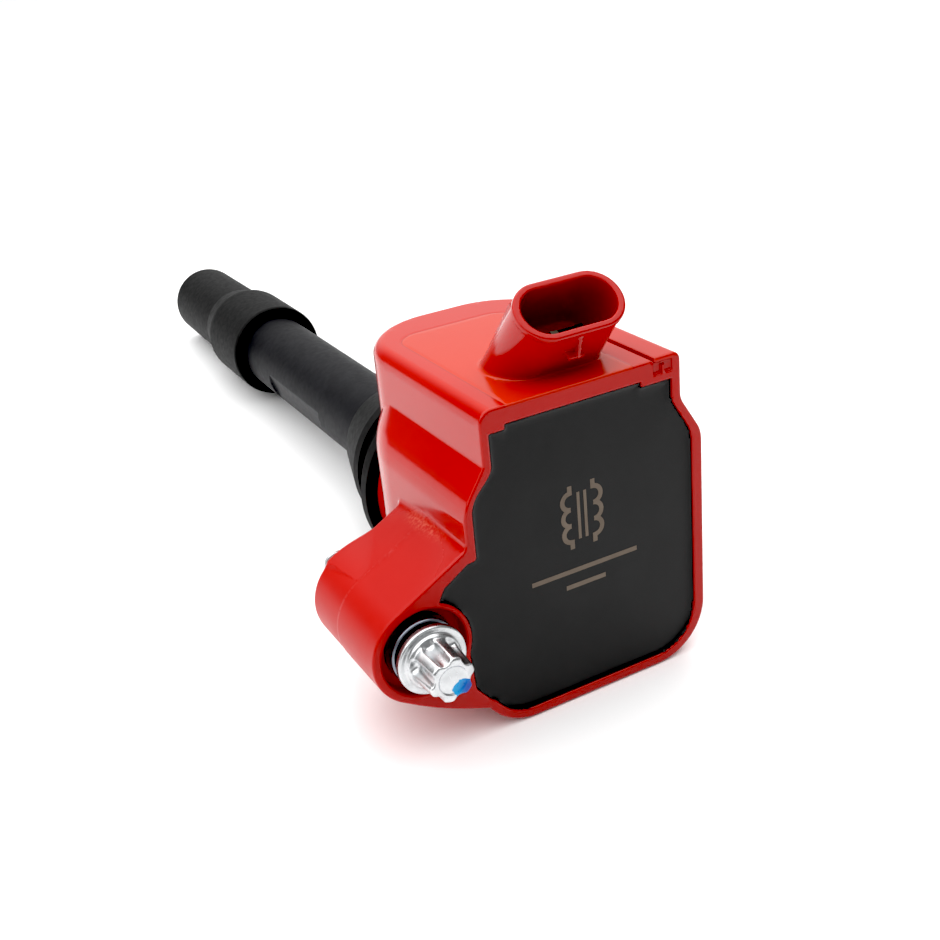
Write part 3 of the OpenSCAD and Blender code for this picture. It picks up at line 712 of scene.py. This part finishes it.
def nearness(made, centre, inner, outer, along=1.0):
    """1 within inner of a point and 0 beyond outer, in millimetres; along stretches it in Y."""
    where = add(made, "ShaderNodeTexCoord")
    squeeze = add(made, "ShaderNodeVectorMath", operation="MULTIPLY")
    squeeze.inputs[1].default_value = (1, 1 / along, 1)
    link(made, where, "Object", squeeze, 0)
    gap = add(made, "ShaderNodeVectorMath", operation="DISTANCE")
    middle = place(centre)
    gap.inputs[1].default_value = (middle[0], middle[1] / along, middle[2])
    link(made, squeeze, "Vector", gap, 0)
    node = spread(made, gap, "Value", 1.0, 0.0)
    node.interpolation_type = "SMOOTHSTEP"
    node.inputs["From Min"].default_value = inner * MM
    node.inputs["From Max"].default_value = outer * MM
    return node


def combine(made, operation, first, second):
    """A math node on two (node, output) pairs or numbers."""
    node = add(made, "ShaderNodeMath", operation=operation)
    for i, value in enumerate((first, second)):
        if isinstance(value, tuple):
            made.node_tree.links.new(value[0].outputs[value[1]], node.inputs[i])
        else:
            node.inputs[i].default_value = value
    return node


def panel_zone(made):
    """Distance in metres from the centre of the top panel's corner arcs, and a mask of the flat top."""
    where = add(made, "ShaderNodeTexCoord")
    moved = add(made, "ShaderNodeVectorMath", operation="SUBTRACT")
    moved.inputs[1].default_value = tuple(place((PANEL_X, 0, 0)))
    link(made, where, "Object", moved, 0)
    folded = add(made, "ShaderNodeVectorMath", operation="ABSOLUTE")
    link(made, moved, "Vector", folded, 0)
    inner = add(made, "ShaderNodeVectorMath", operation="SUBTRACT")
    inner.inputs[1].default_value = ((PANEL_HALF - PANEL_R) * MM, (PANEL_DEPTH - PANEL_R) * MM, 1)
    link(made, folded, "Vector", inner, 0)
    outside = add(made, "ShaderNodeVectorMath", operation="MAXIMUM")
    outside.inputs[1].default_value = (0, 0, 0)
    link(made, inner, "Vector", outside, 0)
    length = add(made, "ShaderNodeVectorMath", operation="LENGTH")
    link(made, outside, "Vector", length, 0)
    split = add(made, "ShaderNodeSeparateXYZ")
    link(made, where, "Object", split, 0)
    top = spread(made, split, "Z", 0.0, 1.0)
    top.inputs["From Min"].default_value = (TOP - 0.6) * MM
    top.inputs["From Max"].default_value = (TOP - 0.1) * MM
    over = spread(made, split, "Z", 1.0, 0.0)
    over.inputs["From Min"].default_value = (TOP + 0.5) * MM
    over.inputs["From Max"].default_value = (TOP + 0.9) * MM
    flat = combine(made, "MULTIPLY", (top, "Result"), (over, "Result"))
    return length, flat


def tinted(made, base, mask, color):
    """The base colour, changed to another where the mask (node, output) is 1."""
    return mix_color(made, mask, base, color)


def red_plastic():
    """Glossy red moulding, with a painted sheen on the top; the ear is duller, with pale scuffs where it
    meets the head.
    """
    made = material("red_moulding", (0.40, 0.006, 0.003), 0.16, Specular_IOR_Level=0.36)
    shader = made.node_tree.nodes["Principled BSDF"]
    broad = blend_color(made, noise(made, 60, 3), "Fac", (0.36, 0.0055, 0.0025), (0.43, 0.0080, 0.0040))
    ear_zone = nearness(made, (EAR_X, 14, 0.5), 14.0, 22.0)
    dull = spread(made, ear_zone, "Result", 0.13, 0.38)
    link(made, spread(made, ear_zone, "Result", 0.36, 0.24), "Result", shader, "Specular IOR Level")
    grain = spread(made, noise(made, 420, 5), "Fac", -0.04, 0.06)
    # Painted sheen: the flat top is painted lighter and more orange, in mottled patches, for the overhead
    # light it catches; inside its panel it is paler still, and the panel is outlined by a fine witness line
    length, top = panel_zone(made)
    mottle = spread(made, noise(made, 90, 4), "Fac", 0.55, 1.0)
    painted_top_sheen = combine(made, "MULTIPLY", (top, "Value"), (mottle, "Result"))
    with_top_sheen = tinted(made, broad, (painted_top_sheen, "Value"), (0.47, 0.016, 0.005))
    inside = spread(made, length, "Value", 1.0, 0.0)
    inside.inputs["From Min"].default_value = (PANEL_R - 0.1) * MM
    inside.inputs["From Max"].default_value = PANEL_R * MM
    panel = combine(made, "MULTIPLY", (inside, "Result"), (painted_top_sheen, "Value"))
    warmer = tinted(made, with_top_sheen, (panel, "Value"), (0.50, 0.030, 0.006))
    off = combine(made, "SUBTRACT", (length, "Value"), PANEL_R * MM)
    near = combine(made, "ABSOLUTE", (off, "Value"), 0.0)
    line = spread(made, near, "Value", 0.45, 0.0)
    line.inputs["From Max"].default_value = 0.16 * MM
    witness = combine(made, "MULTIPLY", (line, "Result"), (top, "Value"))
    lined = tinted(made, warmer, (witness, "Value"), (0.16, 0.004, 0.002))
    # Scuffs: pale specks close to the corner between the ear and the side
    corner = nearness(made, (-24.6, 13.5, 12.8), 0.4, 3.4, 3.6)
    fleck = spread(made, noise(made, 1700, 6), "Fac", -3.6, 4.6)
    scuff = combine(made, "MULTIPLY", (fleck, "Result"), (corner, "Result"))
    scuff.use_clamp = True
    faint = combine(made, "MULTIPLY", (scuff, "Value"), 0.5)
    tinted(made, lined, (faint, "Value"), (0.62, 0.16, 0.10))
    gloss = combine(made, "ADD", (dull, "Result"), (grain, "Result"))
    matte = combine(made, "MULTIPLY", (panel, "Value"), 0.08)
    link(made, combine(made, "ADD", (gloss, "Value"), (matte, "Value")), "Value", shader, "Roughness")
    bump(made, noise(made, 2600, 4), "Fac", 0.10, 0.00003)
    return made


def black_epoxy():
    """Cast compound: broad soft waves under a fine grain."""
    made = material("potting_black", (0.012, 0.012, 0.012), 0.3, Specular_IOR_Level=0.27)
    blend_color(made, noise(made, 90, 4), "Fac", (0.012, 0.012, 0.012), (0.019, 0.019, 0.019))
    rough(made, noise(made, 900, 4), "Fac", 0.24, 0.40)
    bump(made, noise(made, 70, 2), "Fac", 0.25, 0.0002)
    return made


def zinc_steel():
    """Bright plated steel, with a dab of paint on the screw's end."""
    made = material("bright_zinc", (0.78, 0.80, 0.82), 0.28, 1.0)
    plated = blend_color(made, noise(made, 500, 4), "Fac", (0.42, 0.43, 0.44), (0.72, 0.73, 0.74))
    rough(made, noise(made, 1500, 4), "Fac", 0.22, 0.36)
    bump(made, noise(made, 700, 3), "Fac", 0.4, 0.00008)
    # Blue inspection paint, ragged at its edge
    blot = nearness(made, (EAR_X + 1.6, SCREW_TOP, EAR_Z - 2.2), 1.0, 2.6)
    ragged = spread(made, noise(made, 1100, 4), "Fac", -0.55, 0.55)
    edge = combine(made, "ADD", (blot, "Result"), (ragged, "Result"))
    paint = combine(made, "GREATER_THAN", (edge, "Value"), 0.5)
    tint = nearness(made, (EAR_X + 3.2, SCREW_TOP, EAR_Z - 2.6), 0.8, 3.2)
    blue = blend_color(made, tint, "Result", (0.0, 0.30, 0.62), (0.005, 0.06, 0.36))
    mix_color(made, (paint, "Value"), plated, blue)
    bare = combine(made, "SUBTRACT", 1.0, (paint, "Value"))
    link(made, bare, "Value", made.node_tree.nodes["Principled BSDF"], "Metallic")
    return made


def rubber():
    low, high = (0.010, 0.010, 0.010), (0.017, 0.017, 0.017)
    made = material("moulded_rubber", low, 0.6, Specular_IOR_Level=0.13)
    blend_color(made, noise(made, 300, 5), "Fac", low, high)
    rough(made, noise(made, 800, 4), "Fac", 0.45, 0.72)
    bump(made, noise(made, 5000, 3), "Fac", 0.25, 0.00005)
    return made


def matte_plastic(name, low, high, roughness=(0.4, 0.6)):
    made = material(name, low, roughness[0], Specular_IOR_Level=0.12)
    blend_color(made, noise(made, 200, 4), "Fac", low, high)
    rough(made, noise(made, 700, 4), "Fac", *roughness)
    bump(made, noise(made, 3000, 3), "Fac", 0.2, 0.00004)
    return made


def stem_plastic(low, high):
    """The stem's plastic, painted paler on the two smooth flats as a painted reflection of the light they
    catch.
    """
    made = matte_plastic("glass_filled_stem", low, high)
    shader = made.node_tree.nodes["Principled BSDF"]
    where = add(made, "ShaderNodeTexCoord")
    across = add(made, "ShaderNodeVectorMath", operation="DOT_PRODUCT")
    across.inputs[1].default_value = (math.cos(FLAT_TURN), 0, math.sin(FLAT_TURN))
    link(made, where, "Object", across, 0)
    out = combine(made, "ABSOLUTE", (across, "Value"), 0.0)
    split = add(made, "ShaderNodeSeparateXYZ")
    link(made, where, "Object", split, 0)
    past = combine(made, "SUBTRACT", (split, "Y"), place((0, FLAT_Y, 0))[1])
    off = combine(made, "ABSOLUTE", (past, "Value"), 0.0)
    beyond = combine(made, "GREATER_THAN", (out, "Value"), (FLAT_HALF - 0.04) * MM)
    within = combine(made, "LESS_THAN", (off, "Value"), (FLAT_REACH + 0.1) * MM)
    flat = combine(made, "MULTIPLY", (beyond, "Value"), (within, "Value"))
    base = shader.inputs["Base Color"].links[0].from_node
    # Painted reflection: the flats are tinted paler to stand in for the light they catch
    tinted(made, base, (flat, "Value"), FLAT_PAINTED_REFLECTION)
    return made


def metal(name, low, high, roughness=(0.2, 0.4), stretch=None, scale=600):
    made = material(name, low, roughness[0], 1.0)
    blend_color(made, noise(made, scale, 4, stretch), "Fac", low, high)
    rough(made, noise(made, scale * 2, 4, stretch), "Fac", *roughness)
    bump(made, noise(made, scale * 2, 3, stretch), "Fac", 0.25, 0.00005)
    return made


def banded(name, low, high, axis, period, metallic, roughness):
    """Fine parallel lines, for windings and stacked laminations."""
    made = material(name, low, roughness, metallic)
    where = add(made, "ShaderNodeTexCoord")
    wave = add(made, "ShaderNodeTexWave", wave_type="BANDS", bands_direction=axis, Distortion=0.0)
    # At scale 1 the bands are 0.314 apart
    wave.inputs["Scale"].default_value = 0.314 / (period * MM)
    link(made, where, "Object", wave, "Vector")
    blend_color(made, wave, "Fac", low, high)
    rough(made, noise(made, 800), "Fac", roughness, roughness + 0.15)
    bump(made, wave, "Fac", 0.6, 0.0001)
    return made


def make_materials():
    black = ((0.010, 0.010, 0.011), (0.020, 0.020, 0.022))
    return {
        "red_plastic": red_plastic(),
        "epoxy": black_epoxy(),
        "zinc_steel": zinc_steel(),
        # Painted shade: the bush is a darker steel than the screw, standing in for the flange's shadow over
        # its end
        "bush_steel": metal("bush_steel_painted_shade", (0.13, 0.15, 0.18), (0.34, 0.37, 0.42), (0.22, 0.4)),
        "black_rubber": rubber(),
        "black_plastic": matte_plastic("glass_filled_black", *black),
        "stem_plastic": stem_plastic(*black),
        # Painted shade: the terminal pins are far darker than tin, standing in for the shade deep in the
        # socket
        "shade_darkened_tin": metal("shade_darkened_tin", (0.05, 0.045, 0.035), (0.11, 0.10, 0.08)),
        "bobbin_plastic": matte_plastic("bobbin_cream", (0.62, 0.58, 0.46), (0.74, 0.70, 0.58)),
        "copper_wire": banded("enamelled_copper", (0.30, 0.09, 0.03), (0.62, 0.24, 0.09),
                              "Z", 0.25, 1.0, 0.3),
        "brass": metal("tinned_brass", (0.62, 0.44, 0.18), (0.80, 0.62, 0.32)),
        "core_steel": banded("laminated_steel", (0.20, 0.21, 0.23), (0.42, 0.43, 0.46), "Y", 0.5, 1.0, 0.35),
        "magnet": metal("ground_magnet", (0.08, 0.08, 0.09), (0.16, 0.16, 0.17), (0.3, 0.5)),
        "ceramic": matte_plastic("fired_ceramic", (0.70, 0.66, 0.58), (0.82, 0.79, 0.72), (0.35, 0.5)),
        "spring_steel": metal("drawn_wire", (0.42, 0.42, 0.44), (0.66, 0.66, 0.68), (0.22, 0.38)),
        "aluminium_plate": metal("rolled_aluminium", (0.62, 0.63, 0.65), (0.80, 0.81, 0.83), (0.25, 0.4),
                                 (1, 8, 1)),
    }


# ---------------------------------------------------------------- stage

def make_camera():
    """The camera that the object is seen from."""
    data = bpy.data.cameras.new("camera")
    data.sensor_width = 36
    data.lens = LENS
    data.clip_start = 0.01
    camera = bpy.data.objects.new("camera", data)
    bpy.context.scene.collection.objects.link(camera)
    turn = Matrix.Rotation(math.radians(YAW), 4, "Z") @ Matrix.Rotation(math.radians(90 + PITCH), 4, "X")
    turn = turn @ Matrix.Rotation(math.radians(ROLL), 4, "Z")
    camera.matrix_world = Matrix.Translation(Vector(place(EYE))) @ turn
    bpy.context.scene.camera = camera


def area_light(name, at, size, power):
    """A white rectangular light that faces the middle of the object."""
    data = bpy.data.lights.new(name, "AREA")
    data.shape = "RECTANGLE"
    data.size, data.size_y = size
    data.energy = power
    lamp = bpy.data.objects.new(name, data)
    bpy.context.scene.collection.objects.link(lamp)
    lamp.location = at
    lamp.rotation_euler = (-Vector(at)).to_track_quat("-Z", "Y").to_euler()


def make_world():
    """Dim surroundings with one bright wall at the back right."""
    world = bpy.data.worlds.new("studio")
    bpy.context.scene.world = world
    world.use_nodes = True
    sky = world.node_tree.nodes["Background"]
    sky.inputs["Color"].default_value = (1, 1, 1, 1)
    where = add(world, "ShaderNodeTexCoord")
    facing = add(world, "ShaderNodeVectorMath", operation="DOT_PRODUCT")
    toward, dim, bright = (0.497, 0.745, 0.447), 0.28, 1.05
    facing.inputs[1].default_value = toward
    link(world, where, "Generated", facing, 0)
    glow = spread(world, facing, "Value", dim, bright)
    glow.interpolation_type = "SMOOTHSTEP"
    glow.inputs["From Min"].default_value = 0.55
    glow.inputs["From Max"].default_value = 0.98
    link(world, glow, "Result", sky, "Strength")


def make_stage():
    """A pale floor that touches the head's lower front edge and the seal, and soft white light."""
    clearance = 0.0002
    base = BOTTOM * MM - clearance
    size = FLOOR_SIZE
    corners = [(-size, -size), (size, -size), (size, size), (-size, size)]
    points = [(x, y, base + FLOOR_SLOPE * (y - RIM_Y * MM)) for x, y in corners]
    floor = new_mesh("floor", points, [(0, 1, 2, 3)])
    floor.data.materials.append(material("pale_floor", FLOOR_COLOR, 0.4, Specular_IOR_Level=0.3))
    area_light("overhead", at=(-0.15, 0.0, 0.9), size=(2.0, 2.0), power=28.5)
    area_light("left_soft", at=(-0.9, 0.1, 0.35), size=(0.6, 0.5), power=1.5)
    view = bpy.context.scene.view_settings
    view.view_transform = "Standard"
    view.use_curve_mapping = True
    view.curve_mapping.black_level = (BLACK_LEVEL,) * 3
    view.curve_mapping.update()


# ---------------------------------------------------------------- assembly

make_camera()
make_world()
make_stage()

materials = make_materials()
pieces = {**make_moulded(), **make_turned(), "laser_mark": make_mark()}
STANDS_FOR = {
    "housing_shell": ("coil", "coil_housing", "red_plastic"),
    "potting_face": ("coil", "potting_compound", "epoxy"),
    "stem_body": ("coil", "stem_tube", "black_plastic"),
    "lobe_screw": ("screw", "mounting_screw", "zinc_steel"),
    "boot_rubber": ("coil", "plug_boot", "black_rubber"),
    "seal_rubber": ("coil", "well_seal", "black_rubber"),
    "bush_sleeve": ("coil", "compression_bush", "zinc_steel"),
    "retainer_ring": ("retainer", "screw_retainer", "black_plastic"),
}
# The bush and the terminal pins take darkened finishes as painted shade, and the stem's finish carries a
# painted reflection on its flats
OWN_FINISH = {"bush_sleeve": "bush_steel", "stem_body": "stem_plastic", "terminal_pins": "shade_darkened_tin"}
pieces["laser_mark"].data.materials.append(
    matte_plastic("laser_etch", (0.13, 0.105, 0.085), (0.20, 0.165, 0.135), (0.6, 0.8)))
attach(pieces["laser_mark"], "coil")
for name, (body, node, slot) in STANDS_FOR.items():
    piece = pieces[name]
    piece.data.materials.append(materials[OWN_FINISH.get(name, slot)])
    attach(piece, body)
    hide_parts(node)

finish_of = {entry["node"]: entry["material_slot"] for entry in frame["record"]["subparts"]}
for node, shown in frame["nodes"].items():
    if node not in {entry[1] for entry in STANDS_FOR.values()}:
        shown.data.materials.clear()
        shown.data.materials.append(materials[OWN_FINISH.get(node, finish_of[node])])
